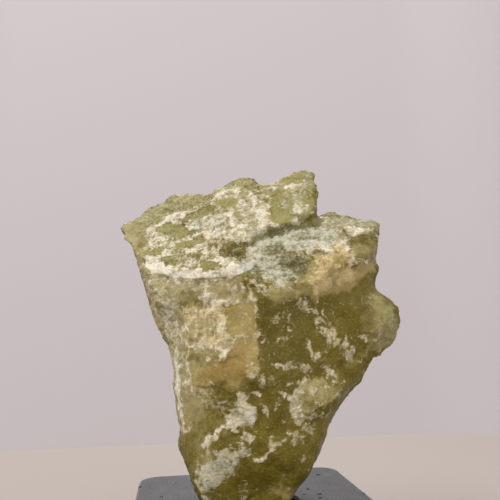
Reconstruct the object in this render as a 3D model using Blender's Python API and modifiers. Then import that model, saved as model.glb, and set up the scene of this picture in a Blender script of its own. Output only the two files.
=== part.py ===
"""A rough green jade stone standing in the round socket of a square basalt stand.

Two loose pieces: the stand, a square block with eased edges and a blind socket drilled in its
top, and the stone, one solid that tapers down to a foot which sits in that socket.
Run with: blender --background --python part.py
Blender units are metres; the driving sizes below are in millimetres. +Z is up, +Y is the back,
and the origin is the middle of the stand's underside.
"""

import math

import bmesh
import bpy
import numpy as np
from mathutils import Vector, noise

MM = 0.001

# The stand.
STAND_SIDE = 50.0
STAND_HEIGHT = 25.0
STAND_CORNER_RADIUS = 4.5
STAND_EDGE_RADIUS = 0.7
SOCKET_DIAMETER = 18.5
SOCKET_DEPTH = 5.2
SOCKET_CHAMFER = 0.5
SOCKET_SIDES = 64

# The stone, in its own axes: u to the right, z up from the stand's top, and depth towards the
# front. It is turned a little on the stand, so that its broad face looks past the front left.
STONE_TURN_DEG = -8.8
STONE_HEART = (1.0, 36.0)  # the point (u, z) that every part of the outline can be seen from
STONE_DETAIL = 8  # subdivisions of the starting sphere
STONE_VOXEL = 0.7
STONE_FACES = 7600
RIM_ROUNDING = 3.4  # how far inside the outline the broad faces begin
LEAST_REACH = 1.9  # how far the broad faces always stand in front of the rim, and behind it
SEAT_GAP = 0.3  # between the foot and the socket
FOOT_MIDDLE = -2.0  # where along u the foot stands
FOOT_ROUGHNESS = 0.6  # how far the foot's lumps may stand out
FOOT_TAPER = 0.05  # the share by which it narrows for each millimetre of depth

# The stone's outline, clockwise from its left corner: (u, z, depth of the rim there).
OUTLINE = [
    (-32.0, 61.0, -8.0), (-30.8, 62.4, -9.0), (-28.7, 63.6, -9.5), (-24.6, 66.8, -9.5),
    (-22.0, 67.6, -9.5), (-19.8, 69.0, -9.5), (-15.5, 70.1, -9.5), (-13.2, 70.1, -9.4),
    (-9.7, 68.7, -7.5), (-9.1, 70.5, -8.0), (-5.9, 72.4, -8.5), (-0.7, 74.0, -9.0),
    (1.2, 73.8, -8.5), (2.8, 71.3, -7.5), (7.1, 73.0, -8.5), (9.9, 73.6, -8.7),
    (12.5, 75.3, -9.5), (14.4, 75.6, -9.5), (16.3, 74.7, -9.0), (17.0, 70.2, -7.0),
    (15.9, 64.6, -5.0), (15.4, 61.7, -5.0), (18.4, 63.1, -9.0), (20.8, 64.0, -9.0),
    (25.0, 62.6, -9.0), (27.4, 62.4, -9.0), (30.2, 62.1, -8.0), (31.3, 61.0, -7.0),
    (31.3, 58.8, -6.0), (29.7, 53.8, -4.0), (29.0, 51.6, -3.0), (30.0, 49.5, -3.0),
    (28.6, 46.5, -3.0), (28.5, 43.8, -3.0), (31.4, 42.3, -3.0), (33.8, 39.5, -3.0),
    (34.1, 37.2, -3.0), (32.8, 33.4, -3.0), (30.3, 30.4, -3.0), (26.9, 28.6, -3.0),
    (25.8, 26.8, -3.0), (22.6, 22.7, -2.0), (20.2, 21.5, -2.0), (17.8, 17.9, -1.0),
    (15.7, 14.0, -1.0), (14.5, 11.6, -1.0), (12.1, 7.2, -1.0), (9.2, 3.8, -0.5),
    (7.8, 1.6, 0.0), (6.4, -1.6, 0.0), (3.4, -4.6, 0.0), (-5.6, -4.8, 0.0),
    (-8.2, -2.4, 0.0), (-10.3, 0.4, 0.0), (-11.5, 3.2, 0.0), (-13.1, 7.0, 0.0),
    (-16.0, 11.6, 0.0), (-15.7, 15.0, 0.0), (-16.2, 19.0, 0.0), (-17.0, 26.8, 0.0),
    (-18.7, 31.5, 0.0), (-20.7, 36.4, 0.0), (-22.4, 41.0, 0.0), (-23.4, 44.8, 0.0),
    (-24.5, 48.8, -1.0), (-28.0, 55.6, -3.5), (-30.6, 57.4, -5.0),
]

# The lower right edge of the slab that forms the upper left of the front, from right to left.
SLAB_EDGE = [(16.0, 62.4), (9.0, 58.2), (2.4, 56.8), (-1.4, 54.2), (-3.0, 51.2), (-2.2, 48.6),
             (0.4, 46.2), (1.4, 42.0)]
# The crest of the shoulder under the right block, from left to right.
SHOULDER = [(8.8, 43.4), (14.0, 46.2), (21.5, 50.2), (29.0, 51.4)]
# The ledge that runs across the lower right of the front.
LEDGE = [(8.6, 18.4), (12.5, 18.0), (17.0, 19.4), (21.5, 22.6)]
# The foot of the flat face at the left of the ridge, from left to right.
FACET_FOOT = [(-13.6, 21.8), (-8.2, 25.2), (-3.0, 26.4), (1.4, 27.2)]
# A break that runs across the back, from left to right as seen from the front.
BACK_BREAK = [(-20.0, 54.0), (-7.0, 45.5), (5.0, 47.5), (16.0, 41.0), (29.0, 38.5)]


def clear_scene():
    for old in list(bpy.data.objects):
        bpy.data.objects.remove(old)


def material(name, colour, roughness):
    made = bpy.data.materials.new(name)
    made.use_nodes = True
    shader = made.node_tree.nodes["Principled BSDF"]
    shader.inputs["Base Color"].default_value = (*colour, 1.0)
    shader.inputs["Roughness"].default_value = roughness
    shader.inputs["Metallic"].default_value = 0.0
    return made


def ramp(value, low, high):
    """A smooth step from 0 at low to 1 at high."""
    share = np.clip((value - low) / (high - low), 0.0, 1.0)
    return share * share * (3.0 - 2.0 * share)


def beside_line(u, z, line):
    """(signed distance to a broken line, how far along it as 0 to 1). Left of its run is positive."""
    best = np.full(u.shape, 1e9)
    signed = np.zeros(u.shape)
    along = np.zeros(u.shape)
    steps = len(line) - 1
    for i in range(steps):
        (u0, z0), (u1, z1) = line[i], line[i + 1]
        du, dz = u1 - u0, z1 - z0
        length = math.hypot(du, dz)
        share = np.clip(((u - u0) * du + (z - z0) * dz) / length**2, 0.0, 1.0)
        off_u, off_z = u - u0 - share * du, z - z0 - share * dz
        distance = np.hypot(off_u, off_z)
        nearer = distance < best
        side = np.where(du * (z - z0) - dz * (u - u0) >= 0.0, 1.0, -1.0)
        signed = np.where(nearer, side * distance, signed)
        along = np.where(nearer, (i + share) / steps, along)
        best = np.minimum(best, distance)
    return signed, along


def bump(u, z, centre, size):
    """A soft mound of height 1 at centre, falling to 0 at about size = (half width, half height)."""
    away = ((u - centre[0]) / size[0]) ** 2 + ((z - centre[1]) / size[1]) ** 2
    return np.exp(-1.6 * away)


def front_depth(u, z):
    """How far the stone's front reaches at (u, z): broken planes that meet in ridges and ledges."""
    left_wall = 8.3 + 1.25 * (u + 13.4) + 1.1 * np.maximum(0.0, z - 38.0)
    upper_left_wall = 8.4 + 0.50 * (u + 13.2)
    front_left = 14.6 + 0.43 * (u - 1.2) - 0.05 * (z - 35.0)
    front_right = 14.6 - 0.50 * (u - 1.2) - 0.02 * (z - 35.0)
    lower_front = 14.8 + 0.20 * (z - 30.0)
    lower_right = 14.0 - 0.62 * (u - 8.0) + 0.16 * (z - 20.0)
    body = np.minimum.reduce(
        [left_wall, upper_left_wall, front_left, front_right, lower_front, lower_right]
    )
    # The slab's broken face leans back from a rim that crosses the front left.
    slab = 12.2 - 0.75 * (z - 46.6) + 0.40 * np.minimum(u + 5.1, 0.0)
    # Right of the slab, and under it, a rougher slope climbs to the right block.
    upper_right = 5.2 - 0.78 * (z - 50.0) - 0.12 * (u - 22.0)
    below_slab, _ = beside_line(u, z, SLAB_EDGE)
    slope = slab + (upper_right - slab) * ramp(below_slab, -0.5, 1.0)
    # The block at the right end: a small upright face under a steep top.
    block = np.minimum.reduce(
        [
            2.8 - 0.35 * (u - 25.0) - 0.06 * (z - 55.0),
            2.6 - 1.7 * (z - 57.4),
            2.4 + 1.8 * (u - 22.2) + 0.8 * (z - 56.0),
            2.6 + 2.2 * (z - 51.6),
        ]
    )
    depth = np.maximum(np.minimum(body, slope), block)
    # The shoulder's rolled crest, with the face below it scooped out.
    above_shoulder, along = beside_line(u, z, SHOULDER)
    ends = ramp(along, 0.0, 0.12) * (1.0 - 0.5 * ramp(along, 0.75, 1.0))
    depth += 1.2 * ends * np.exp(-((above_shoulder / 1.9) ** 2))
    depth -= 1.3 * bump(u, z, (13.5, 38.0), (9.0, 6.0))
    # The hollow behind the rim, and the deeper one between the slab and the shoulder.
    depth -= 1.9 * bump(u, z, (-3.6, 51.0), (3.4, 1.7))
    depth -= 1.8 * bump(u, z, (7.6, 47.6), (5.0, 2.8))
    # The knob at the right, two low swellings and a dent.
    depth += 2.6 * bump(u, z, (29.0, 37.0), (5.0, 6.0))
    depth += 0.9 * bump(u, z, (4.0, 12.0), (6.0, 5.0))
    depth -= 1.0 * bump(u, z, (-6.5, 19.5), (4.5, 3.0))
    # The lower right ledge stands out above its edge and fades upwards.
    above_ledge, along = beside_line(u, z, LEDGE)
    raised = ramp(above_ledge, -0.3, 0.4) * (1.0 - ramp(above_ledge, 3.0, 8.0))
    depth += 1.4 * raised * ramp(along, 0.0, 0.25) * (1.0 - ramp(along, 0.85, 1.0))
    # So does the foot of the flat face at the left of the ridge.
    above_foot, along = beside_line(u, z, FACET_FOOT)
    raised = ramp(above_foot, -0.3, 0.4) * (1.0 - ramp(above_foot, 2.0, 7.0))
    depth += 0.7 * raised * (1.0 - ramp(along, 0.6, 1.0))
    # The rim of the slab carries a low lip.
    lip = 46.7 + 0.028 * (u + 9.0) ** 2
    on_rim = ramp(u, -25.0, -21.0) * (1.0 - ramp(u, -0.5, 1.5))
    return depth + 0.9 * on_rim * np.exp(-(((z - lip - 0.6) / 1.1) ** 2))


def back_depth(u, z):
    """The same for the back, as a negative depth: a plainer face of broad breaks."""
    reach = np.minimum.reduce(
        [
            16.5 - 0.05 * (u - 4.0) + 0.04 * (z - 35.0),
            16.0 + 0.52 * (u + 4.0) + 0.10 * (z - 30.0),
            18.0 - 0.55 * (u - 6.0) + 0.12 * (z - 40.0),
            12.5 + 0.28 * (z - 18.0),
            12.5 - 0.95 * (z - 67.0) + 0.10 * (u - 4.0),
        ]
    )
    above_break, _ = beside_line(u, z, BACK_BREAK)
    reach -= 2.0 * ramp(above_break, -0.5, 0.8) * (1.0 - ramp(above_break, 7.0, 15.0))
    reach += 1.4 * bump(u, z, (8.0, 24.0), (8.0, 7.0))
    reach -= 1.6 * bump(u, z, (-8.0, 32.0), (6.0, 5.0))
    return -reach


def outline_radius(angle):
    """(distance from the heart to the outline, depth of the rim) in each direction."""
    heart = np.array(STONE_HEART)
    points = np.array(OUTLINE)
    away = points[:, :2] - heart
    turned = np.unwrap(np.arctan2(away[:, 1], away[:, 0]))[::-1]
    away, rims = away[::-1], points[::-1, 2]
    angle = turned[0] + (angle - turned[0]) % (2.0 * math.pi)
    last = np.searchsorted(turned, angle, side="right") - 1
    after = (last + 1) % len(points)
    a, b = away[last], away[after]
    direction = np.stack([np.cos(angle), np.sin(angle)], axis=1)
    # Where the ray from the heart crosses the straight stretch from a to b.
    edge = b - a
    radius = (a[:, 0] * edge[:, 1] - a[:, 1] * edge[:, 0]) / (
        direction[:, 0] * edge[:, 1] - direction[:, 1] * edge[:, 0]
    )
    crossing = direction * radius[:, None]
    share = np.linalg.norm(crossing - a, axis=1) / np.linalg.norm(edge, axis=1)
    return radius, rims[last] + share * (rims[after] - rims[last])


def roughness_of(point, shelf):
    """Lumps, layered ledges and pits at a point in mm. shelf is 1 on the slope at the top."""
    lumps = noise.fractal(Vector(point) / 9.0, 1.0, 2.1, 3)
    grain = noise.fractal(Vector(point) / 2.6 + Vector((5.0, 1.0, 3.0)), 1.0, 2.0, 2)
    layers = Vector((point[0] / 7.0, point[1] / 5.0, (point[2] - 0.12 * point[0]) / 1.7))
    ledges = noise.fractal(layers, 0.8, 2.0, 2)
    return 0.55 * lumps + (0.28 + 0.16 * shelf) * grain + 0.60 * shelf * ledges


def triangles_of(thing):
    """How many triangles an object has once its modifiers have run."""
    evaluated = thing.evaluated_get(bpy.context.evaluated_depsgraph_get())
    mesh = evaluated.to_mesh()
    count = sum(len(face.vertices) - 2 for face in mesh.polygons)
    evaluated.to_mesh_clear()
    return count


def shape_stone():
    """A fine sphere, seen from the front as a disc, is stretched to the outline. Its front and
    back then take the two depth functions, and roughness is added along the normals."""
    bpy.ops.mesh.primitive_ico_sphere_add(subdivisions=STONE_DETAIL, radius=1.0)
    stone = bpy.context.object
    stone.name = "jade_stone"
    mesh = stone.data
    ball = np.empty(len(mesh.vertices) * 3)
    mesh.vertices.foreach_get("co", ball)
    ball = ball.reshape(-1, 3)
    share = np.minimum(np.hypot(ball[:, 0], ball[:, 2]), 1.0)
    angle = np.arctan2(ball[:, 2], ball[:, 0])
    radius, rim = outline_radius(angle)
    u = STONE_HEART[0] + share * radius * np.cos(angle)
    z = STONE_HEART[1] + share * radius * np.sin(angle)
    inside = np.clip((1.0 - share) * radius / RIM_ROUNDING, 0.0, 1.0)
    rounding = np.sqrt(1.0 - (1.0 - inside) ** 2)
    faces_front = ball[:, 1] < 0.0
    front = np.maximum(front_depth(u, z), rim + LEAST_REACH)
    back = np.minimum(back_depth(u, z), rim - LEAST_REACH)
    depth = rim + (np.where(faces_front, front, back) - rim) * rounding
    # Just above the stand's top the stone steps in to a foot, which tapers down in the socket.
    foot_reach = SOCKET_DIAMETER / 2.0 - SEAT_GAP - FOOT_ROUGHNESS + FOOT_MIDDLE
    foot_reach = foot_reach * (1.0 - FOOT_TAPER * np.maximum(0.0, -z))
    narrow = foot_reach / np.maximum(foot_reach, np.hypot(u - FOOT_MIDDLE, depth))
    narrow = 1.0 + (narrow - 1.0) * (1.0 - ramp(z, 0.3, 2.2))
    place = np.stack([FOOT_MIDDLE + (u - FOOT_MIDDLE) * narrow, -depth * narrow, z], axis=1)
    mesh.vertices.foreach_set("co", (place * MM).ravel())
    mesh.update()
    normals = np.empty(len(mesh.vertices) * 3)
    mesh.vertices.foreach_get("normal", normals)
    normals = normals.reshape(-1, 3)
    slope = ramp(place[:, 2], 45.0, 50.0) * faces_front
    free = 0.5 + 0.5 * ramp(place[:, 2], 1.5, 7.0)
    rough = np.array([roughness_of(p, s) for p, s in zip(place, slope, strict=True)])
    place += normals * (rough * free)[:, None]
    mesh.vertices.foreach_set("co", (place * MM).ravel())
    mesh.update()
    stone.rotation_euler = (0.0, 0.0, math.radians(STONE_TURN_DEG))
    stone.location = (0.0, 0.0, STAND_HEIGHT * MM)
    even = stone.modifiers.new("even_skin", "REMESH")
    even.mode = "VOXEL"
    even.voxel_size = STONE_VOXEL * MM
    fewer = stone.modifiers.new("fewer_faces", "DECIMATE")
    fewer.ratio = STONE_FACES / triangles_of(stone)
    mesh.materials.append(material("rough_jade", (0.23, 0.20, 0.055), 0.55))
    return stone


def cutter(name):
    """Marks the active object as a helper that only cuts, in its own collection."""
    made = bpy.context.object
    made.name = name
    made.hide_render = True
    made.display_type = "WIRE"
    for place in list(made.users_collection):
        place.objects.unlink(made)
    bpy.data.collections["cutters"].objects.link(made)
    return made


def socket_cutters():
    """A drill for the blind socket and a cone for the small chamfer round its mouth."""
    top = STAND_HEIGHT * MM
    over = 2.0 * MM
    depth = SOCKET_DEPTH * MM
    bpy.ops.mesh.primitive_cylinder_add(
        vertices=SOCKET_SIDES,
        radius=SOCKET_DIAMETER / 2.0 * MM,
        depth=depth + over,
        location=(0.0, 0.0, top - depth + (depth + over) / 2.0),
    )
    drill = cutter("socket_drill")
    mouth = (SOCKET_DIAMETER / 2.0 + SOCKET_CHAMFER) * MM
    bpy.ops.mesh.primitive_cone_add(
        vertices=SOCKET_SIDES,
        radius1=mouth - 3.0 * SOCKET_CHAMFER * MM,
        radius2=mouth + SOCKET_CHAMFER * MM,
        depth=4.0 * SOCKET_CHAMFER * MM,
        location=(0.0, 0.0, top - SOCKET_CHAMFER * MM),
    )
    return drill, cutter("socket_chamfer")


def shape_stand():
    """A square block with rounded corners and eased edges, and the socket drilled in its top."""
    bpy.ops.mesh.primitive_cube_add(size=1.0, location=(0.0, 0.0, STAND_HEIGHT / 2.0 * MM))
    stand = bpy.context.object
    stand.name = "stand"
    stand.scale = (STAND_SIDE * MM, STAND_SIDE * MM, STAND_HEIGHT * MM)
    bpy.ops.object.transform_apply(location=False, rotation=False, scale=True)
    mesh = bmesh.new()
    mesh.from_mesh(stand.data)
    upright = [e for e in mesh.edges if abs(e.verts[0].co.z - e.verts[1].co.z) > MM]
    bmesh.ops.bevel(
        mesh, geom=upright, offset=STAND_CORNER_RADIUS * MM, segments=6, profile=0.5, affect="EDGES"
    )
    mesh.to_mesh(stand.data)
    mesh.free()
    for helper in socket_cutters():
        cut = stand.modifiers.new(helper.name, "BOOLEAN")
        cut.operation = "DIFFERENCE"
        cut.object = helper
    ease = stand.modifiers.new("eased_edges", "BEVEL")
    ease.width = STAND_EDGE_RADIUS * MM
    ease.segments = 3
    ease.limit_method = "ANGLE"
    ease.angle_limit = math.radians(70.0)
    stand.data.materials.append(material("honed_basalt", (0.12, 0.12, 0.125), 0.6))
    return stand


def collect(objects):
    """Puts the two pieces in the object's own collection."""
    home = bpy.data.collections.new("jade_stone_on_stand")
    bpy.context.scene.collection.children.link(home)
    for made in objects:
        for place in list(made.users_collection):
            place.objects.unlink(made)
        home.objects.link(made)
        made.data.shade_smooth()
        made.data.set_sharp_from_angle(angle=math.radians(35.0))


def main():
    clear_scene()
    cutters = bpy.data.collections.new("cutters")
    bpy.context.scene.collection.children.link(cutters)
    collect([shape_stand(), shape_stone()])


main()
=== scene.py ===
# %% [markdown]
# # A piece of rough jade on a honed stone block
#
# The object is a hand specimen: one broken lump of yellow-green jade whose
# foot drops into a round socket in a small square block of dark basalt. The
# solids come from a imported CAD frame. This lesson gives them their surface:
# broken layers, a pale weathered crust, smooth olive fracture faces, and a
# ground stone block with open pits.

# %% Load the frame
import math

import bmesh
import bpy
import numpy as np
from mathutils import Matrix, Vector, noise
from mathutils.bvhtree import BVHTree


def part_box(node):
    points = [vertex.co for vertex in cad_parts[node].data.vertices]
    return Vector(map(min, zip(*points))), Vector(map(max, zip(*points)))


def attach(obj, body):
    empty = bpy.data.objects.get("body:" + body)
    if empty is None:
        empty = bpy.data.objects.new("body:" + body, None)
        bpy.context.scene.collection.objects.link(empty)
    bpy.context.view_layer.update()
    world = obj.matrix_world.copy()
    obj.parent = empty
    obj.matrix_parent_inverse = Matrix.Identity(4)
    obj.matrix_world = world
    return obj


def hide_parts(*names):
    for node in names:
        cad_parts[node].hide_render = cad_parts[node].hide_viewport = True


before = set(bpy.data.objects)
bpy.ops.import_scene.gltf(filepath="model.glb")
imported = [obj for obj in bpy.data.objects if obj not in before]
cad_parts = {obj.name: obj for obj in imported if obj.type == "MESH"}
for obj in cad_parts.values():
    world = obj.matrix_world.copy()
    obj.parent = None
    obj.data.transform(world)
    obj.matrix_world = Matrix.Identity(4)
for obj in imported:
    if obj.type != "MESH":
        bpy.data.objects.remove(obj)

scene = bpy.context.scene
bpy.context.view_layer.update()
MM = 0.001


# %% [markdown]
# ## The stone's own directions
#
# The stone stands turned a little on its block. Everything on its face is
# easier to place along its own directions: u to the right, z up from the top
# of the block, and d towards the viewer, all in millimetres. One function
# turns points into those three numbers.

# %% The stone's own directions
STONE_TURN = math.radians(8.8)
BLOCK_TOP = round(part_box("stand")[1][2] / MM, 3)
TO_OWN = np.array((
    (math.cos(STONE_TURN), -math.sin(STONE_TURN), 0.0),
    (-math.sin(STONE_TURN), -math.cos(STONE_TURN), 0.0),
    (0.0, 0.0, 1.0),
))


def own_mm(points):
    """Points in metres as u, d and z along the stone's face, in mm."""
    turned = points @ TO_OWN.T / MM
    turned[:, 2] -= BLOCK_TOP
    return turned


low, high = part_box("jade_stone")
print("the block is", BLOCK_TOP, "mm high")
print("stone, mm:", np.round(own_mm(np.array((low, high))), 1).tolist())

# %% [markdown]
# ## Camera
#
# A small thing is looked at from close by: the lens is hardly more than
# 11 cm from the middle of the stone, a little above the block, and tipped up.
# The near view makes the upper shelf lean away and shows the top of the block.
# A camera's matrix holds its right, up and backward directions, so these are
# worked out from its yaw, pitch and roll.

# %% Camera
CAMERA_PLACE = Vector((-0.0171, -0.1111, 0.0590))
YAW, PITCH, ROLL = (math.radians(a) for a in (8.77, 9.92, 1.03))
FOCAL_LENGTH = 36.0
SENSOR_WIDTH = 36.0
NEAREST_SEEN = 1.0 * MM


def placed(name, data):
    """A new object in the scene, with this data."""
    made = bpy.data.objects.new(name, data)
    scene.collection.objects.link(made)
    return made


lens = bpy.data.cameras.new("camera")
lens.lens = FOCAL_LENGTH
lens.sensor_width = SENSOR_WIDTH
lens.clip_start = NEAREST_SEEN
camera = placed("camera", lens)
ahead = Vector((
    math.sin(YAW) * math.cos(PITCH), math.cos(YAW) * math.cos(PITCH), math.sin(PITCH)))
level = Vector((math.cos(YAW), -math.sin(YAW), 0.0))
raised = level.cross(ahead)
right = level * math.cos(ROLL) - raised * math.sin(ROLL)
up = level * math.sin(ROLL) + raised * math.cos(ROLL)
turned = Matrix((right, up, -ahead)).transposed().to_4x4()
camera.matrix_world = Matrix.Translation(CAMERA_PLACE) @ turned
scene.camera = camera
print("camera to stone, mm:", round(-CAMERA_PLACE.y / MM, 1))

# %% [markdown]
# ## Colours
#
# Colours are easiest to choose as the hex values of a screen, which are
# stored with a curve (sRGB). A renderer adds light, and that is only right
# with the curve taken off. One function does this for every colour below.


# %% Colours
def linear(hex_code):
    """An sRGB hex colour as linear red, green, blue and alpha."""
    channels = [int(hex_code[i:i + 2], 16) / 255 for i in (0, 2, 4)]
    return tuple(
        c / 12.92 if c <= 0.04045 else ((c + 0.055) / 1.055) ** 2.4 for c in channels
    ) + (1.0,)


scene.view_settings.view_transform = "Standard"
print("mid grey is", round(linear("808080")[0], 3))

# %% [markdown]
# ## Adding nodes
#
# A material is a small net of nodes. One helper adds a node, sets its
# choices and fills its inputs: a plain value is typed into the socket, and
# another node's output is linked to it. It hands back the output that the
# next node needs. Patterns are measured in millimetres, so `per_mm` turns a
# feature's size into a texture scale.


# %% Adding nodes
def fill(node, inputs):
    """Types values into a node's inputs, or links other nodes' outputs."""
    for name, value in inputs.items():
        if isinstance(value, bpy.types.NodeSocket):
            node.id_data.links.new(value, node.inputs[name])
        else:
            node.inputs[name].default_value = value


def add(tree, kind, inputs=None, result=0, **choices):
    """Adds a node with its choices and inputs, and gives one of its outputs."""
    made = tree.nodes.new("ShaderNode" + kind)
    for name, value in choices.items():
        setattr(made, name, value)
    fill(made, inputs or {})
    return made.outputs[result]


def new_finish(name):
    """A new material, its tree of nodes and its shader."""
    made = bpy.data.materials.new(name)
    made.use_nodes = True
    return made, made.node_tree, made.node_tree.nodes["Principled BSDF"]


def per_mm(size):
    """The texture scale that draws features of this size in mm."""
    return 1.0 / (size * MM)


print("a 2 mm pattern has scale", per_mm(2.0))

# %% [markdown]
# ## Floor and backdrop
#
# The object stands on a plain pale table top inside a ring of plain wall, so
# that no edge of the table shows from any side. The floor is matt paper and
# the wall matt paint. The wall only has to be seen: it casts no shadow and
# throws no light back, so the lamps can stand outside.

# %% Floor and backdrop
ROOM_HALF = 0.192
WALL_TOP = 0.40
CORNER = 0.07
ROOM_TURN = math.radians(-2.0)


def rounded_square(half, corner, steps=10):
    """The corner-rounded square's outline, anticlockwise."""
    outline = []
    for quarter in range(4):
        for step in range(steps + 1):
            angle = math.pi / 2 * (quarter + step / steps)
            centre = (half - corner) * np.array((
                (1, -1, -1, 1)[quarter], (1, 1, -1, -1)[quarter]))
            outline.append(centre + corner * np.array((math.cos(angle), math.sin(angle))))
    return outline


def new_mesh(name, points, faces):
    """A new object from points and faces."""
    mesh = bpy.data.meshes.new(name)
    mesh.from_pydata([tuple(p) for p in points], [], faces)
    mesh.update()
    return placed(name, mesh)


outline = rounded_square(ROOM_HALF, CORNER)
count = len(outline)
ground = [(x, y, 0.0) for x, y in outline]
studio_floor = new_mesh("studio_floor", ground, [list(range(count))])
rings = [(x, y, height) for height in (0.0, WALL_TOP) for x, y in outline]
panels = [(i, i + count, (i + 1) % count + count, (i + 1) % count) for i in range(count)]
studio_wall = new_mesh("studio_wall", rings, panels)
for piece in (studio_floor, studio_wall):
    piece.rotation_euler.z = ROOM_TURN
for face in studio_wall.data.polygons:
    face.use_smooth = True
for ray in ("diffuse", "glossy", "transmission", "shadow"):
    setattr(studio_wall, "visible_" + ray, False)
print("the room is", round(2 * ROOM_HALF / MM), "mm square")


# %% Paper and paint
WALL_GLOW = 0.225


def plain_paint(piece, name, hex_code, glow=0.0):
    """Matt paint for a quiet ground, with a faint glow of its own if asked."""
    made, _, shader = new_finish(name)
    fill(shader, {
        "Base Color": linear(hex_code),
        "Roughness": 0.9,
        "Specular IOR Level": 0.2,
        "Emission Color": linear(hex_code),
        "Emission Strength": glow,
    })
    piece.data.materials.append(made)


plain_paint(studio_floor, "studio_floor_paper", "B6ADA7")
plain_paint(studio_wall, "studio_wall_paint", "BDB7BA", WALL_GLOW)
print("stage materials:", [piece.data.materials[0].name for piece in (studio_floor, studio_wall)])

# %% [markdown]
# ## Light
#
# Broken stone shows its relief when one broad light comes from the side. The
# main lamp is high on the left, a wide weak one fills in from the front, and
# a third behind the top rim lets a little light through the thin edges. The
# world adds an even, nearly white daylight.

# %% Light
LAMPS = (
    # name, place, width of the lamp, watts, colour
    ("main_lamp", (-0.46, -0.36, 0.70), 0.34, 3.8, "FFF9F2"),
    ("fill_lamp", (0.26, -0.60, 0.60), 0.50, 1.7, "FFFCFA"),
    ("rim_lamp", (0.06, 0.60, 0.62), 0.35, 2.6, "FFFAF6"),
)
LIT_SPOT = Vector((0.0, 0.0, 0.055))
DAYLIGHT = 0.56

for name, place, width, watts, tint in LAMPS:
    lamp = bpy.data.lights.new(name, "AREA")
    lamp.size = width
    lamp.energy = watts
    lamp.color = linear(tint)[:3]
    holder = placed(name, lamp)
    holder.location = place
    aim = LIT_SPOT - Vector(place)
    holder.rotation_euler = aim.to_track_quat("-Z", "Y").to_euler()

world = bpy.data.worlds.new("daylight")
world.use_nodes = True
sky = world.node_tree.nodes["Background"]
sky.inputs["Color"].default_value = linear("F7F5F7")
sky.inputs["Strength"].default_value = DAYLIGHT
scene.world = world
print("lamps:", [lamp[0] for lamp in LAMPS])

# %% [markdown]
# ## A fine skin over the plain solid
#
# The CAD solid has the right outline and main faces, but its facets are
# several millimetres wide. Broken jade has steps, grains and pits down to a
# fraction of a millimetre. They could be faked in the material, but then the
# edge against the light would stay smooth. Instead the solid is wrapped in an
# even mesh with the Remesh modifier, eased a little so that the flat facets
# run into each other, and every point is then moved along its normal.

# %% An even mesh over a solid
STONE_GRID = 0.375 * MM
EASING = 0.5
EASING_ROUNDS = 3


def settled(made):
    """The mesh that an object's modifiers make, which becomes its own."""
    ready = made.evaluated_get(bpy.context.evaluated_depsgraph_get())
    mesh = bpy.data.meshes.new_from_object(ready)
    mesh.name = made.name
    made.modifiers.clear()
    made.data = mesh
    return mesh


def fine_skin(node_name, piece_name, grid, rounds):
    """An even, eased copy of a CAD solid, as a new object."""
    skin = placed(piece_name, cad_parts[node_name].data.copy())
    wrap = skin.modifiers.new("even grid", "REMESH")
    wrap.mode = "VOXEL"
    wrap.voxel_size = grid
    ease = skin.modifiers.new("ease facets", "SMOOTH")
    ease.factor = EASING
    ease.iterations = rounds
    settled(skin).materials.clear()
    return skin


def read(mesh, what):
    """Every point's place ("co") or direction ("normal"), as an array."""
    flat = np.empty(3 * len(mesh.vertices), np.float32)
    source = mesh.vertices if what == "co" else mesh.vertex_normals
    source.foreach_get("co" if what == "co" else "vector", flat)
    return flat.reshape(-1, 3).astype(float)


stone = fine_skin("jade_stone", "rough_jade_skin", STONE_GRID, EASING_ROUNDS)
bare = read(stone.data, "co")
outward = read(stone.data, "normal")
print("stone skin:", len(stone.data.polygons), "faces,", len(bare), "points")

# %% [markdown]
# ## Noise and strokes
#
# Two helpers place every mark. `clouds` is smooth noise with blobs of a
# chosen size, for what nature scatters. `strokes` is for what sits in one
# place: each is a soft line from one spot to another, with a width and a
# strength, like a dab of a brush. Its edge is bent by noise, so that no patch
# looks drawn. No stroke reaches the sides and the back: clouds do the same
# work there.

# %% Noise and strokes
OWN = own_mm(bare)
ACROSS, TOWARD, UP = OWN[:, 0], OWN[:, 1], OWN[:, 2]
FACING = outward @ TO_OWN.T
SEED_STEP = 17.3  # far enough for two seeds to share nothing
SOFTER = 0.9      # how fast the finer layers of the noise fade
FINER = 2.0       # how much finer each layer is than the one before


def clouds(size, seed, octaves=3, spots=OWN):
    """Noise with an even spread of 1 about 0, in blobs of this size in mm."""
    shifted = spots / size + seed * SEED_STEP
    made = np.array([noise.fractal(Vector(p), SOFTER, FINER, octaves) for p in shifted])
    return (made - made.mean()) / made.std()


def eased(value, start, end):
    """0 before start, 1 after end, and a soft step between."""
    t = np.clip((value - start) / (end - start), 0.0, 1.0)
    return t * t * (3.0 - 2.0 * t)


def strokes(marks, across, up, core):
    """How strongly soft lines (u, z, u, z, width, strength) cover points. The
    cover is full up to core widths away, and gone at 2 - core widths."""
    cover = np.zeros(len(across))
    for u0, z0, u1, z1, width, strength in marks:
        along = np.array((u1 - u0, z1 - z0))
        length = max(float(along @ along), 1e-6)
        t = np.clip(((across - u0) * along[0] + (up - z0) * along[1]) / length, 0.0, 1.0)
        away = np.hypot(across - u0 - t * along[0], up - z0 - t * along[1]) / width
        cover = np.maximum(cover, strength * eased(-away, core - 2.0, -core))
    return cover


def inside(corners, across, up):
    """How far points are inside a convex shape, in mm. Its corners (u, z) go
    anticlockwise, and the answer is below 0 outside."""
    depth = np.full(len(across), np.inf)
    for (u0, z0), (u1, z1) in zip(corners, corners[1:] + corners[:1]):
        length = math.hypot(u1 - u0, z1 - z0)
        beside = ((u1 - u0) * (up - z0) - (z1 - z0) * (across - u0)) / length
        depth = np.minimum(depth, beside)
    return depth


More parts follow.
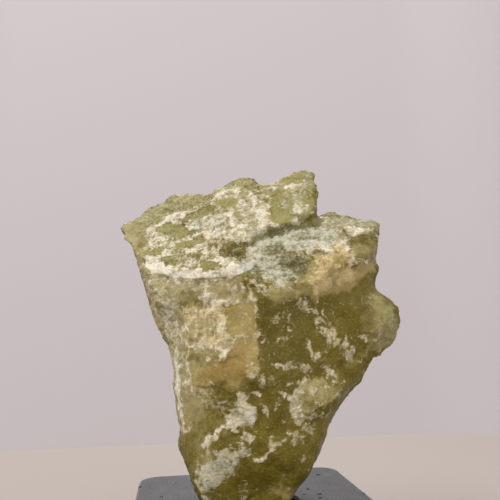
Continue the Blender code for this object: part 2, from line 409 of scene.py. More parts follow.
BEND = 0.35
bent_across = ACROSS + BEND * clouds(2.0, 1)
bent_up = UP + BEND * clouds(2.0, 2)
front = eased(FACING[:, 1], -0.05, 0.30)
top_face = eased(FACING[:, 2], 0.15, 0.75)


def on_front(marks, core=0.5):
    """Strokes on the face that looks at the viewer, with ragged edges."""
    return strokes(marks, bent_across, bent_up, core) * front


def on_back(size, seed, start, full, share=1.0):
    """Clouds of this size on whatever looks away from the viewer."""
    return (1 - front) * eased(clouds(size, seed, 2), start, full) * share


print("points on the front:", int((front > 0.5).sum()))

# %% [markdown]
# ## Where the stone is smooth
#
# Jade breaks in two ways. Where a blow split it cleanly the face is smooth
# and waxy. Elsewhere it tears along its fibres into a rough, hackly surface.
# The strokes below name the smooth faces; what they don't cover is rough.

# %% Smooth faces
SMOOTH_FACES = (
    (0.5, 31, -1, 38, 3.4, 1),         # tan face left of the ridge
    (-10, 28, -3, 27, 2.8, 0.8),       # its lower end
    (7, 33, 20, 38, 7, 0.95),          # wide olive face
    (13, 44.6, 26, 48.4, 1.8, 0.9),    # tan face under the ledge
    (25.4, 53.4, 27.4, 52.4, 2.6, 1),  # right block's front
    (17, 60.8, 29, 60, 1.6, 1),        # right block's clear top edge
    (4.5, 42.6, 9, 42.9, 1.5, 0.3),    # lip over the wide face
    (11.5, 22.5, 18, 23, 3, 1),        # low facet on the right
    (24, 45, 29, 42, 4, 0.8),          # below the right block
    (26.5, 38, 29, 36, 3, 0.35),       # knob
    (-12, 18, -6, 9, 6, 0.9),          # lower left
    (2, 9, 9, 10, 6, 0.9),             # foot
    (0, 17, 8, 23, 5, 0.8),            # above the foot
    (10, 12, 14, 17, 4, 0.8),          # lower right
    (-29, 60, -25, 54, 2, 0.9),        # left corner
    (6, 62, 13, 68, 3.5, 0.5),         # peak
)
smooth = np.clip(on_front(SMOOTH_FACES) + on_back(12.0, 3, -0.3, 0.5, 0.9), 0.0, 1.0)
print("smooth share:", round(float(smooth.mean()), 2))

# %% [markdown]
# ## Layers, lumps and hollows
#
# The upper left is a stack of broken layers, seen end on. A saw-tooth over
# the height makes such steps: each layer swells outward and then cuts back.
# Right of it the surface is made of small rounded lumps, as some jade rinds
# are, drawn from the distance to scattered points. A few thin plates still
# stand on the clean faces, and a few hollows are pressed in. Low on the right
# a flat split facet lifts off like a wedge: level with the face at its top
# edge, and highest at its lower one.

# %% Where layers, lumps and hollows are
LAYERED = (
    (-22, 60, -12, 57, 5.5, 1), (-20, 54, -6, 52, 3.5, 1), (-14, 66, -6, 64, 3, 0.9),
    (-6, 66, -1, 58, 3.5, 0.6), (20, 57, 26, 57.5, 2, 0.6), (14, 48, 22, 51, 1.5, 0.6),
)
LUMPY = (
    (3, 54, 12, 55.5, 2.5, 1), (2, 50, 8, 48.5, 2.8, 1), (12, 55, 20, 57, 2.2, 0.9),
    (-17, 41, -15, 27, 2.2, 0.6), (13, 38, 18, 33, 1.6, 0.3),
)
HOLLOWS = (
    # u, z, radius, depth in mm
    (-5.6, 52, 1.2, 0.45), (-3.6, 52.2, 1.3, 0.85), (-2.4, 53.8, 1.2, 0.75), (10.8, 49, 2.4, 0.8),
    (7.8, 50.6, 1, 0.5), (5.2, 56.8, 1.3, 0.5), (8.2, 57.6, 1.1, 0.4), (-7.6, 55.4, 0.7, 0.35),
    (-13.2, 57.4, 0.7, 0.3),
)
PLATES = (
    # u, z, u, z, width and height in mm of thin flakes still on the face
    (-2, 21.8, -3.4, 18.2, 1.6, 0.16), (-12, 33.5, -6, 33, 3.2, 0.25),
    (14.4, 37.2, 17.4, 33.2, 1.8, 0.18),
)
SPLIT_FACET = (
    # u and z of its corners
    (8.4, 19), (11, 19.2), (13.5, 19.9), (16.4, 21.2), (18, 23.2), (19.4, 25), (10, 25.3),
)
print("hollows:", len(HOLLOWS), "plates:", len(PLATES))

# %% Layers, lumps and hollows
SPLIT_TOP = 25.2
SPLIT_FOOT = 20.0
SPLIT_RISE = 0.38
PLATE_CORE = 0.85
LAYER_HEIGHT = 2.3
LAYER_STEP = 0.30
LAYER_SWELL = 0.80  # the part of a layer's height that swells outward
LEAN = 0.04         # how steeply the layers rise to the right
TOP_LEAN = 0.40     # how much steeper they are near the top
WAVES = 0.16        # how far they wander, in parts of a layer
RIPPLES = 0.06
LUMP_SIZE = 1.5
LUMP_HEIGHT = 0.32
LUMP_FALL = 1.4

slant = LEAN + TOP_LEAN * eased(UP, 52.0, 66.0)
# points seen along the layers: noise over them is drawn out that way
bedded = np.stack((0.45 * ACROSS, 0.6 * TOWARD, UP - slant * ACROSS), axis=1)
phase = bedded[:, 2] / LAYER_HEIGHT + WAVES * clouds(5.0, 4) + RIPPLES * clouds(1.1, 5)
within = phase - np.floor(phase)
cut_back = (1 - within) / (1 - LAYER_SWELL)
layer_profile = np.where(within < LAYER_SWELL, within / LAYER_SWELL, cut_back) - 0.5
layered = np.clip(on_front(LAYERED) + on_back(11.0, 6, 0.4, 1.3), 0.0, 1.0)
lumpy = np.clip(on_front(LUMPY) + on_back(8.0, 7, 0.7, 1.5, 0.8), 0.0, 1.0)
nearest = np.array([noise.voronoi(Vector(p))[0][0] for p in OWN / LUMP_SIZE])
lumps = np.clip(1.0 - LUMP_FALL * nearest ** 2, 0.0, 1.0)
split_depth = inside(SPLIT_FACET, bent_across, bent_up)
split_facet = eased(split_depth, -0.25, 0.25) * front
wedge = eased(split_depth, -0.15, 0.3) * eased(-bent_up, -SPLIT_TOP, -SPLIT_FOOT) * front
plates = on_front(PLATES, PLATE_CORE) + SPLIT_RISE * wedge
hollow = np.zeros(len(OWN))
for u, z, radius, depth in HOLLOWS:
    away = np.hypot(bent_across - u, bent_up - z) / radius
    hollow = np.maximum(hollow, depth * eased(-away, -1.2, -0.3) * front)
print("layered share:", round(float(layered.mean()), 2))
print("lumpy share:", round(float(lumpy.mean()), 2))

# %% [markdown]
# ## Pale crust
#
# Weather turns jade's skin to a thin pale rind, cream where it is stained
# and bluish-white where fresh. It stays on ledges and in rough ground, and
# clean breaks have knocked it off. The strokes give its main patches, and
# noise breaks them up and scatters flecks over the rest, the back included.
# Green windows are spots where a chip has taken the rind away again and clear
# green stone shows, and bare spots are where it has only worn off. The shelf's
# front edge keeps its own thick white band, which lies between two lines.

# %% Where the crust is
LIP = (
    # u and z of the band's lower edge, and its height
    (-23.8, 50.3, 1.4), (-21.4, 48.6, 1.8), (-17.2, 47.3, 1.4), (-12.6, 46.5, 1.1), (-8.3, 46.3, 1.4),
    (-4.1, 46, 2.3), (-2.5, 46.4, 2.2), (0.4, 48.2, 1),
)
GREEN_WINDOWS = (
    (-19.8, 60, -15.6, 58.4, 1.4, 1), (-15.6, 65.8, -10.8, 67.2, 1.2, 1), (-14.6, 62.2, -9, 64, 0.9, 0.9),
    (-6.4, 65.5, -3.8, 65.2, 1.1, 1), (-22.6, 63, -19.6, 64.6, 0.8, 0.8),
    (-22.2, 59.8, -20.6, 60.8, 0.6, 0.8), (-16.4, 54.4, -11.2, 55.5, 0.9, 0.9),
    (-22.8, 53.3, -20.4, 53.9, 0.8, 0.9), (-18.4, 51.4, -17.4, 50.2, 0.8, 0.9),
    (-9.8, 49.1, -7.6, 48.7, 1, 0.9), (-16.4, 51.9, -11.6, 51.6, 1, 0.5), (6.4, 62.4, 8.4, 60.6, 1.7, 1),
    (5.6, 63.8, 7.4, 67.4, 1, 0.6), (-3, 63.2, -2, 60.4, 0.5, 0.4), (13.6, 60.6, 14.6, 66.4, 0.8, 0.6),
)
CRUST = (
    # the layered shelf
    (-23, 58.5, -10, 57, 3.6, 0.57), (-22, 54, -6, 51, 3.4, 0.56), (-20, 62, -12, 62, 1.8, 0.45),
    (-24, 60.6, -13, 65.4, 0.8, 0.72), (-13, 65.4, -9, 66.6, 0.6, 0.8), (-8, 66, -6, 69, 1.5, 0.45),
    (17, 60.4, 28, 60, 1, 0.36), (-10, 60, -3, 57, 3.8, 0.6), (-14, 62.5, -7, 62, 1.8, 0.5),
    (-22, 51.5, -19, 50.5, 1.6, 0.7),
    # the slab and the peak
    (-5, 68, -2, 60, 3, 0.62), (0, 66, 4, 61, 3, 0.62), (-4, 57, 2.4, 56.6, 2.4, 0.5),
    (0, 67.5, 6, 69.5, 1.6, 0.4), (9, 65, 14, 71, 2.6, 0.28), (4, 60, 8, 59.4, 1.2, 0.45),
    (11.6, 64, 13.6, 62.8, 1.3, 0.85), (9.2, 60.4, 10.8, 59.4, 0.8, 1.1), (2, 59, 13, 59.6, 0.5, 0.6),
    (9.2, 70.2, 10.6, 70, 0.7, 0.78), (13.6, 70.2, 14.2, 69.2, 1, 0.55), (3, 65, 8, 67.5, 0.8, 0.55),
    # lumps right of the shelf, and the right block
    (2.7, 54.4, 9, 56.2, 1.5, 0.66), (9, 56.4, 17.5, 58, 1.5, 0.66), (9, 53.8, 21, 54.2, 1.5, 0.74),
    (1, 51.5, 7, 48.4, 2.6, 0.56), (2, 44.5, 4, 46.5, 1.6, 0.5), (3, 45.5, 8.6, 44.4, 1.3, 0.56),
    (19, 57.2, 28, 57, 1.5, 0.62), (14.4, 48.2, 21, 51.8, 2, 0.61), (13.6, 46.4, 17.6, 47.2, 1, 0.62),
    (14, 44.8, 22, 47.4, 1.6, 0.86), (21.6, 50, 27.2, 50.5, 0.7, 0.9), (11, 40.4, 12.4, 39.2, 1.2, 0.62),
    (21.4, 53.6, 22.4, 53.2, 0.6, 1),
    # left face and the tan face
    (-18, 47, -4, 44, 2.5, 0.38), (-21, 45, -16.5, 36, 2.4, 0.42), (-3.4, 41.4, 0.9, 41.2, 0.6, 0.72),
    (-2.4, 39, -0.6, 40, 1.4, 0.3), (-1.4, 37, -0.4, 30, 1.5, 0.26), (-13.2, 38.6, -7.6, 38.4, 1.8, 0.66),
    (-9.6, 42.2, -5.8, 41.2, 1.2, 0.74), (-7, 40.6, -5.8, 36, 0.9, 0.9), (-13.4, 34, -6, 33.2, 2.2, 0.6),
    (-6.4, 33.4, -5.4, 30.4, 0.9, 0.85), (-3.9, 33, -1.3, 35.6, 0.15, 0.6),
    (-13.5, 37, -12.9, 28, 0.4, 0.95), (-12.8, 28, -12, 22.6, 0.3, 0.9), (-16.8, 41, -15.4, 26, 2, 0.52),
    (-16.1, 31.8, -15.5, 26.5, 0.6, 1.1), (-15.6, 26, -14.9, 20.5, 0.65, 1.1),
    (-14, 19.2, -13.6, 15.8, 0.7, 1.1), (-12, 22.8, -7.7, 25.2, 0.3, 0.8),
    (-8.9, 29.8, -8.6, 29.2, 0.45, 0.9), (1.05, 41, 1.05, 33, 0.22, 0.75),
    (0.8, 32.5, 0.2, 27, 0.9, 0.36), (-10, 23, -6.4, 20.6, 1.8, 0.34), (-13, 24.6, -12.4, 22.6, 0.8, 0.6),
    # tongue and patches down the middle
    (-2, 21.8, -0.7, 19.6, 1.25, 1.25), (-0.9, 18.9, -4.2, 17.6, 1.4, 1.25),
    (-3.6, 19.9, -2.6, 20.6, 0.8, 0.8), (-4.4, 17.6, -7.6, 15.4, 0.55, 0.9),
    (-8.2, 14.4, -9.4, 13.4, 0.75, 0.86), (-1.3, 15.6, -1, 15, 0.7, 0.8),
    (-1.8, 13.2, -2, 12.2, 0.9, 0.64), (-4.8, 11, -9.2, 7.2, 2.2, 0.9), (1, 11.2, 3.6, 13.8, 0.55, 0.84),
    (3.6, 13.9, 7.4, 15.6, 0.7, 0.45), (8.8, 15.4, 11.4, 16.8, 1.3, 0.47),
    (2.6, 15.2, 4.2, 17.2, 0.6, 0.42), (1.3, 23, 1.4, 22.9, 0.4, 1), (2.3, 20.6, 2.5, 19.6, 0.6, 0.8),
    (4.3, 20.4, 4.9, 21.2, 0.6, 0.7), (5.4, 23.4, 5.7, 23, 0.7, 0.75), (5.6, 18.5, 5.8, 18.2, 0.5, 0.7),
    (8.6, 12, 9.6, 11.2, 0.9, 0.45), (7, 25.3, 9.6, 24.8, 0.5, 0.7), (9.6, 24.8, 8.1, 21.6, 1.1, 0.9),
    (8.1, 21.4, 9, 18.2, 1.1, 0.84), (8.4, 18.6, 10.6, 18.4, 0.8, 0.6), (11, 23.8, 12, 21.6, 1, 0.34),
    (12.6, 21.5, 13.4, 21.3, 0.4, 0.75), (11.2, 19.6, 17.2, 22.7, 0.2, 0.62),
    (12.4, 22.9, 16.8, 23.9, 0.2, 0.55), (16.4, 24.2, 19, 24.8, 0.25, 0.55),
    (11.4, 23.4, 12.4, 23.6, 0.4, 0.6), (0.4, 27, 2.4, 25.6, 0.9, 0.62), (4.6, 28.3, 6.6, 28, 0.5, 0.9),
    (7.2, 28.8, 10.4, 27.9, 1.3, 0.55), (11, 18.6, 15, 18.9, 0.4, 0.5),
    # right side
    (15.4, 40.4, 14.4, 38, 0.4, 0.75), (14.5, 37, 16.9, 33.6, 1.8, 0.55),
    (16.8, 33.2, 18.6, 32, 0.9, 0.6), (20, 32.6, 20.6, 29.9, 0.8, 0.7),
    (11.4, 32.4, 12.9, 29.6, 0.7, 0.56), (23.6, 33.4, 24.8, 33, 0.7, 0.6),
    (5.4, 37.4, 7.2, 36.2, 1.3, 0.42), (2, 33, 8, 33.6, 0.35, 0.6), (13, 13, 15, 15, 0.9, 0.4),
    (16, 27, 17, 26, 0.6, 0.6), (27.2, 36.2, 28, 35, 0.8, 0.48), (24.6, 33.2, 25.2, 32.6, 0.5, 0.7),
    (26.9, 33, 27.1, 32.8, 0.3, 0.9), (29.6, 38.6, 30.2, 34, 1.2, 0.24),
    (-10.4, 4.9, -8.8, 3.8, 0.5, 0.85),
)
BARE = (
    (2.3, 55.4, 11.4, 58.8, 0.55, 0.7), (8.8, 49.6, 12.6, 48.4, 1.6, 0.7),
    (-4.4, 53.6, -1.4, 53.6, 1, 0.8), (-6, 52, -3.6, 51.8, 0.8, 0.6), (-14, 57.4, -12.4, 57.4, 0.35, 0.9),
    (24.8, 53.6, 28.2, 52.4, 2.2, 1), (-29.6, 60, -25.8, 56, 1.4, 1), (-8.2, 54.3, -7.2, 54.2, 0.4, 0.8),
    (-6.3, 55, -6, 54.9, 0.3, 0.8), (15.4, 49.6, 16.5, 49, 0.5, 0.7), (18.6, 49.8, 19.6, 50.2, 0.5, 0.7),
    (17, 47.4, 18.6, 47.9, 0.4, 0.7), (22.6, 41, 25.4, 37.4, 1.5, 0.5),
)
print("strokes of crust:", len(CRUST), "of bare stone:", len(GREEN_WINDOWS + BARE))

# %% Pale crust
FLECKS = 0.12     # what lies on rough ground anywhere
RAGGED = 0.27     # how far noise frays the patches
ON_TOPS = 0.10    # more on faces that look up
ON_LUMPS = 0.22   # more on the tips of the lumps
ON_LAYERS = 0.06  # more on the outer edges of the layers

# coarse, middle and fine noise fray the patches, partly along the layers
ragged = 0.55 * clouds(2.6, 8, 4) + 0.55 * clouds(1.2, 9, 3) + 0.45 * clouds(0.7, 10, 2)
banded = 0.85 * clouds(1.5, 17, 4, bedded) + 0.40 * clouds(0.7, 18, 2)
ragged += (banded - ragged) * 0.25 * layered
behind = (1 - front) * (0.04 + 0.60 * eased(clouds(6.0, 19, 3), 0.1, 1.2) - 0.10 * smooth)
# how far points lie over the band's lower edge, and what is left to its upper
lip_across, lip_up, lip_height = np.array(LIP).T
over_lip = UP - np.interp(ACROSS, lip_across, lip_up) - 0.10 * clouds(2.2, 29)
left_over = np.interp(ACROSS, lip_across, lip_height) * (1 + 0.30 * clouds(1.6, 30)) - over_lip
lip_start, lip_end = lip_across[0], lip_across[-1]
ends = eased(ACROSS, lip_start, lip_start + 1.0) * eased(-ACROSS, -lip_end - 0.6, -lip_end)
on_lip = eased(over_lip, -0.2, 0.1) * eased(left_over, -1.0, 0.5) * ends * front
patches = on_front(CRUST) - on_front(GREEN_WINDOWS + BARE)
crust = patches + behind + ON_TOPS * top_face + FLECKS * (1 - 0.8 * smooth)
crust += RAGGED * ragged * (1 - 0.35 * smooth)
crust += ON_LUMPS * (lumps - 0.55) * lumpy + ON_LAYERS * layer_profile * layered
crust = np.maximum(crust, (1.55 + 0.15 * ragged) * on_lip)
crust_up = eased(crust, 0.40, 0.80)
print("crust share:", round(float(crust_up.mean()), 2))

# %% [markdown]
# ## Shaping the skin
#
# All the relief is added up in millimetres and each point is pushed along
# its normal by the sum. The crust itself is only a twentieth of a millimetre
# thick, and more on the lip. The relief fades out at the foot, which has to
# stay clear of the socket's wall.

# %% Shaping the skin
CRUST_THICKNESS = 0.05
LIP_THICKNESS = 0.10
SWELL = 0.10   # broad unevenness
PROUD = 0.20   # makes up for what the scoops take away
BIG_SCOOPS = 0.24
SMALL_SCOOPS = 0.13
GRAINS = 0.08
rough = 1.0 - 0.85 * smooth
scoops = -BIG_SCOOPS * np.abs(clouds(3.6, 11, 2)) - SMALL_SCOOPS * np.abs(clouds(1.5, 12, 2))
relief = SWELL * clouds(7.0, 13, 2) + PROUD + scoops * rough + GRAINS * clouds(0.8, 14, 2) * rough
relief += LAYER_STEP * layer_profile * layered * np.clip(0.8 + 0.3 * clouds(4.0, 20), 0.2, 1.4)
relief += LUMP_HEIGHT * (lumps - 0.5) * lumpy
relief += (CRUST_THICKNESS * crust_up + LIP_THICKNESS * on_lip) * (1 + 0.25 * clouds(0.7, 21, 2))
relief += plates - hollow
above_socket = eased(UP, 0.2, 2.5)
shaped = bare + outward * (relief * above_socket * MM)[:, None]
stone.data.vertices.foreach_set("co", shaped.astype(np.float32).ravel())
stone.data.update()
for face in stone.data.polygons:
    face.use_smooth = True
print("relief, mm:", round(float(relief.min()), 2), "to", round(float(relief.max()), 2))

# %% [markdown]
# ## Colour zones
#
# The body of the stone is one mineral in several tints: deep olive in thick
# clean parts, tan on the split faces with rust where iron has crept in, a
# cool grey-green under the fresh crust, and a brighter green in the windows.
# Some masks paint light and shade instead: a painted glow, lighter and
# greener, wherever the stone is so thin that light comes through and along
# its thin top edges, a painted shade of darker olive on the faces turned away
# from the light and under ledges, and painted light in part of the pale tint
# on the upper faces. Each tint is a mask, kept on the mesh as a named
# attribute that the material reads. Thickness is measured by sending a ray
# inward from each point.

# %% Where the tints are
# painted shade: faces turned away from the light and the undersides of ledges
PAINTED_SHADE = (
    (3.2, 38.8, 4.6, 30, 2.2, 1), (6.5, 38, 10, 31, 3.5, 0.8), (9.8, 40.2, 15, 40, 1.8, 0.8),
    (15, 40, 20, 41.9, 1.4, 0.6), (10, 38.5, 14, 37.5, 2.4, 0.9), (5, 24.5, 9.5, 27, 2, 0.5),
    (4, 22, 6.5, 15, 2, 0.5), (12.4, 18.5, 17.6, 20.8, 0.6, 1), (17.6, 20.8, 19.6, 23.4, 0.6, 1),
    (20, 38, 22, 33, 2, 0.5), (24.2, 41.4, 26, 38, 1.8, 0.9),
)
RUSTY = (
    (-10.5, 25.4, -6.5, 27.5, 1.6, 0.6), (-4.5, 28.4, 0.2, 27.2, 1.8, 0.9),
    (-6.5, 27.5, -1.5, 31.5, 1.7, 0.8), (-1.5, 31.5, 0.4, 34.2, 1, 0.8),
    (23.6, 39.6, 27.2, 38.6, 1.4, 0.5), (24, 36.8, 25.4, 35.2, 1.2, 0.5), (25, 38.4, 27, 39.4, 1.6, 0.5),
)
TAN_FACET = (
    (-0.2, 30, -1.4, 39, 3, 0.95), (-3, 30, -3.6, 38, 2.4, 0.8), (0.6, 31, 0.4, 28.5, 1.2, 0.4),
)
TAN = (
    (-11, 27, -3, 26.4, 2.4, 0.6), (12.6, 44.4, 20.4, 46.2, 2.4, 1.6), (20.4, 46.6, 27, 49, 1.5, 0.9),
    (4.4, 42.6, 9, 42.9, 1.4, 0.55), (24.6, 54, 26.6, 51.6, 2.6, 0.35), (14, 48, 21, 51.5, 2.4, 0.8),
    (-12, 37, -8, 31, 3, 0.4), (-13, 45, -6, 44, 2, 0.4), (5, 5, 9, 3.5, 1.6, 0.6),
    (26.4, 39.5, 27, 36, 1.6, 0.5), (9.6, 23.6, 12.6, 22.6, 1.6, 0.5), (18, 43, 22, 40, 1.6, 0.3),
)
# the stone's paler tint, and on the upper faces painted light
PALE = (
    (-21, 45, -4, 44, 3, 0.9), (-19, 40, -13, 22, 5, 0.9), (-12, 20, -9, 8, 3.5, 0.46),
    (-6, 20, -6, 12, 3, 0.35), (27.6, 39, 29.6, 33.4, 4, 0.7), (4.4, 42.7, 9, 43, 1.5, 0.75),
    (22, 54, 28, 52, 3, 0.55), (-28.5, 60, -23, 50, 2.5, 0.6), (-12, 37, -8, 32, 4, 0.8),
    (-24, 60, -6, 54, 6, 0.35), (-14, 66, -4, 62, 4, 0.4), (-4, 68, 4, 58, 5, 0.8),
    (17, 60.5, 29, 59.6, 1.8, 1), (6, 70, 14, 72, 3, 0.8), (5, 66, 13, 63, 3, 0.5),
)
COOL = (
    (3, 54.5, 17, 57, 3, 1), (1, 50, 9, 49, 3.2, 1), (-17, 42, -14.6, 24, 2.8, 0.4),
    (12, 55.4, 14.5, 55.8, 1.6, 0.6), (17, 60.5, 29, 59.6, 1.6, 0.9), (-5, 11, -9, 7.4, 2.2, 0.9),
    (4, 57, 9, 58, 1.2, 0.8), (3, 46.5, 7, 46, 1.6, 0.7), (-12, 61, -7, 59, 2, 0.6),
    (9, 49, 13, 48, 2, 0.3), (9, 62, 13, 69, 3.4, 0.5),
)
# clear green spots, and along the top edges and the knob's rim a painted glow of light through the thin
# stone
GREEN = (
    (-27, 63, -14, 68.8, 1.8, 0.6), (-9, 69.5, -1, 72.5, 1.8, 0.6), (4, 71, 15, 74, 2, 0.6),
    (12, 58, 15, 66, 1.5, 0.6), (8, 64, 13, 68, 3.5, 0.7), (30.4, 39, 31.6, 34, 1.6, 0.8),
    (-29, 60, -26, 56, 1.6, 0.3), (-3, 56.4, 1.6, 56.2, 1.8, 0.9), (-12, 32, -8, 32, 1.6, 0.4),
)
OCHRE = (
    (14, 47.8, 20, 51.4, 2.4, 1), (14, 44.4, 24, 48, 2, 1), (-10, 56, -7, 54.6, 1.8, 0.5),
    (-13.5, 39, -6, 38.5, 2.4, 0.6), (-13, 34.6, -6, 34, 2.2, 0.6), (0.8, 32, 0.4, 29.6, 0.8, 0.5),
    (16.8, 35.2, 18.2, 32.4, 0.9, 0.6), (-14, 63.6, -9.5, 67, 0.7, 0.4),
    (-12, 22.8, -7.7, 25.2, 0.6, 0.7),
)
print("strokes of tint:", sum(map(len, (PAINTED_SHADE, RUSTY, TAN_FACET, TAN, PALE, COOL, GREEN, OCHRE))))


# %% How thick the stone is
THIN = 5.5         # mm of stone through which a third of the light still comes
RAY_START = 0.3    # mm below the skin, so that a ray doesn't hit its own face
RAY_REACH = 40.0   # mm


def thickness():
    """How much stone lies behind each point, in mm."""
    tree = BVHTree.FromPolygons(
        [Vector(p) for p in shaped], [list(f.vertices) for f in stone.data.polygons])
    depth = np.full(len(shaped), RAY_REACH)
    for i, (spot, way) in enumerate(zip(shaped, outward)):
        inward = -Vector(way)
        start = Vector(spot) + inward * RAY_START * MM
        distance = tree.ray_cast(start, inward, RAY_REACH * MM)[3]
        if distance is not None:
            depth[i] = distance / MM
    return depth


# painted light: the colour is lightened where the stone is thin, for the light that shines through
thin = np.exp(-thickness() / THIN)
print("thin share:", round(float(thin.mean()), 2))


# %% Colour zones
TINT_CORE = 0.25
RIDGE_ACROSS = 1.3
RIDGE_FOOT, RIDGE_TOP = 25.5, 42.5
RIDGE_REACH = 4.5


def keep(mesh, name, values, domain="POINT"):
    """Keeps a mask on the mesh, one value for each point or face."""
    layer = mesh.attributes.new(name, "FLOAT", domain)
    layer.data.foreach_set("value", values.astype(np.float32))


# the tan facet ends sharply at the ridge
near_ridge = (UP > RIDGE_FOOT) & (UP < RIDGE_TOP) & (ACROSS < RIDGE_REACH)
past_ridge = RIDGE_ACROSS - ACROSS - 0.12 * clouds(1.5, 26)
left_of_ridge = np.where(near_ridge, eased(past_ridge, -0.2, 0.2), 1.0)
tan = np.maximum(on_front(TAN_FACET, TINT_CORE) * left_of_ridge, on_front(TAN, TINT_CORE))
split_tint = split_facet * (0.66 - 0.30 * eased(bent_across, 13.0, 18.0) + 0.10 * clouds(1.6, 31))
pale = np.maximum(on_front(PALE, TINT_CORE), split_tint)
green = np.maximum(on_front(GREEN, TINT_CORE), 0.8 * on_front(GREEN_WINDOWS))
# bruised grains are most common high up and on the left, and rare on waxy faces
frost = 0.05 + 0.50 * eased(UP, 41.0, 48.0) + 0.40 * eased(-ACROSS, 3.0, 13.0) + 0.05 * (1 - front)
frost = frost * (1 - 0.7 * smooth) + 0.12 * clouds(2.6, 28)
frost = np.clip(frost * (1 - 0.4 * on_front(GREEN_WINDOWS)), 0.0, 1.0)
zones = {
    "crust": crust,
    "waxy": smooth,
    "tan": tan + on_back(10.0, 22, 0.0, 1.2, 0.7),
    "pale": pale + on_back(12.0, 27, -1.0, 1.4, 0.7),
    "cool": on_front(COOL, TINT_CORE) + on_back(9.0, 23, 0.3, 1.3, 0.7),
    # the deep mask is painted shade
    "deep": on_front(PAINTED_SHADE, TINT_CORE),
    "rusty": on_front(RUSTY, TINT_CORE) * left_of_ridge,
    "green": green + on_back(8.0, 24, 0.5, 1.4, 0.5),
    "ochre": on_front(OCHRE, TINT_CORE) + on_back(7.0, 25, 0.8, 1.6, 0.7),
    "hollow": np.clip(hollow, 0.0, 1.0),
    "frost": frost,
    "thin": thin,
}
for name, values in zones.items():
    keep(stone.data, name, values)
    print(f"{name}: {values.min():.2f} to {values.max():.2f}, mean {values.mean():.2f}")

# %% [markdown]
# ## Patterns and coats
#
# Both stones are coloured in the same way: patterns of noise over the whole
# object, and thin coats laid over one another. A pattern needs its size in
# millimetres, and may be stretched along an axis. A coat follows a mask: it
# starts where the mask has one value and is full where it has another. A
# mask's edge is frayed by adding patterns to it.

# %% Patterns and coats
EVEN = (1.0, 1.0, 1.0)
SOFT = {"interpolation_type": "SMOOTHSTEP"}  # a range without a hard start or end
COLOUR_A, COLOUR_B, COLOUR_OUT = 6, 7, 2  # a colour Mix node's sockets


def patterns(tree, table):
    """Noises by name, from their sizes in mm, details, roughnesses and the
    scales along X, Y and Z."""
    place = add(tree, "TexCoord", result="Object")
    made = {}
    for name, (size, detail, roughness, stretch) in table.items():
        spot = add(tree, "Mapping", {"Vector": place, "Scale": stretch})
        look = {"Vector": spot, "Scale": per_mm(size), "Detail": detail, "Roughness": roughness}
        made[name] = add(tree, "TexNoise", look)
    return made


def frayed(tree, mask, *swings):
    """The mask with its edge frayed by patterns, each with a share. At its
    middle value of 0.5 a pattern leaves the mask as it is."""
    for pattern, share in swings:
        mask = add(tree, "Math", {0: pattern, 1: share, 2: mask}, operation="MULTIPLY_ADD")
    middle = 0.5 * sum(share for _, share in swings)
    return add(tree, "Math", {0: mask, 1: middle}, operation="SUBTRACT")


def coated(tree, colour, *coats):
    """Lays coats over a colour: each a mask, the values where it starts and
    is full, how much it covers then, and a colour as hex or an output."""
    for mask, start, full, share, tint in coats:
        reach = {"Value": mask, "From Min": start, "From Max": full, "To Max": share}
        amount = add(tree, "MapRange", reach, **SOFT)
        over = linear(tint) if isinstance(tint, str) else tint
        blend = {"Factor": amount, COLOUR_A: colour, COLOUR_B: over}
        colour = add(tree, "Mix", blend, COLOUR_OUT, data_type="RGBA")
    return colour


print("a 3 mm cloud has scale", round(per_mm(3.0)), "and a 0.34 mm fleck", round(per_mm(0.34)))

# %% [markdown]
# ## Rough jade
#
# Jade is a tough felt of fine fibres. Light enters it, is scattered and
# comes out nearby, which gives the waxy glow, so the shader has some
# subsurface scattering: red and green travel most of a millimetre, blue less
# than half as far, hence the olive. Its IOR is close to 1.61. Clean breaks are
# waxy, torn ground is half matt, and the crust is dull like chalk.
#
# The body starts deep olive and gets one coat for each tint, some of them
# painted light and shade, then a painted shade in the hollows, a mottle and
# a frost of bruised grains.

# %% Body of the jade
JADE = {
    "deep olive": "6B5D0B",
    "olive": "7C6F23",
    "pale olive": "B1A574",
    "tan": "AF9B60",
    "rust": "9C7C38",
    "cool green": "80805A",
    # clear green, and a painted glow along thin edges
    "bright green": "9F9B60",
    # painted shade on faces turned away from the light
    "painted shade olive": "5E510C",
    # painted glow of light shining through thin stone
    "thin": "BDB58A",
    # painted shade in the hollows, and the dark grain of the mottle
    "shadow": "4E471F",
    "frost": "DDD6B4",
}
TINTS = (
    # zone, colour and how much of it shows at most
    ("pale", "pale olive", 0.9), ("tan", "tan", 0.9), ("rusty", "rust", 0.6),
    # thin is a painted glow of light through thin stone
    ("cool", "cool green", 0.8), ("thin", "thin", 0.8), ("green", "bright green", 0.9),
    # painted shade
    ("deep", "painted shade olive", 0.6),
)
ALONG_GRAIN = (0.6, 0.8, 1.0)  # a little longer sideways than tall
JADE_PATTERNS = {
    # size in mm, detail, roughness, and scales along X, Y and Z. Real fibres
    # are some 0.01 mm thick: the finest grain is drawn over thirty times coarser
    "cloud": (3.0, 5.0, 0.65, EVEN),
    "grain": (0.9, 4.0, 0.60, EVEN),
    "dust": (0.50, 4.0, 0.72, ALONG_GRAIN),
    "frosting": (0.36, 3.0, 0.70, ALONG_GRAIN),
    "mottle": (0.42, 4.0, 0.70, ALONG_GRAIN),
    "fleck": (0.34, 1.0, 0.50, ALONG_GRAIN),
    "crack": (1.1, 3.0, 0.60, ALONG_GRAIN),
}
HOLLOW_SHADE = 0.52


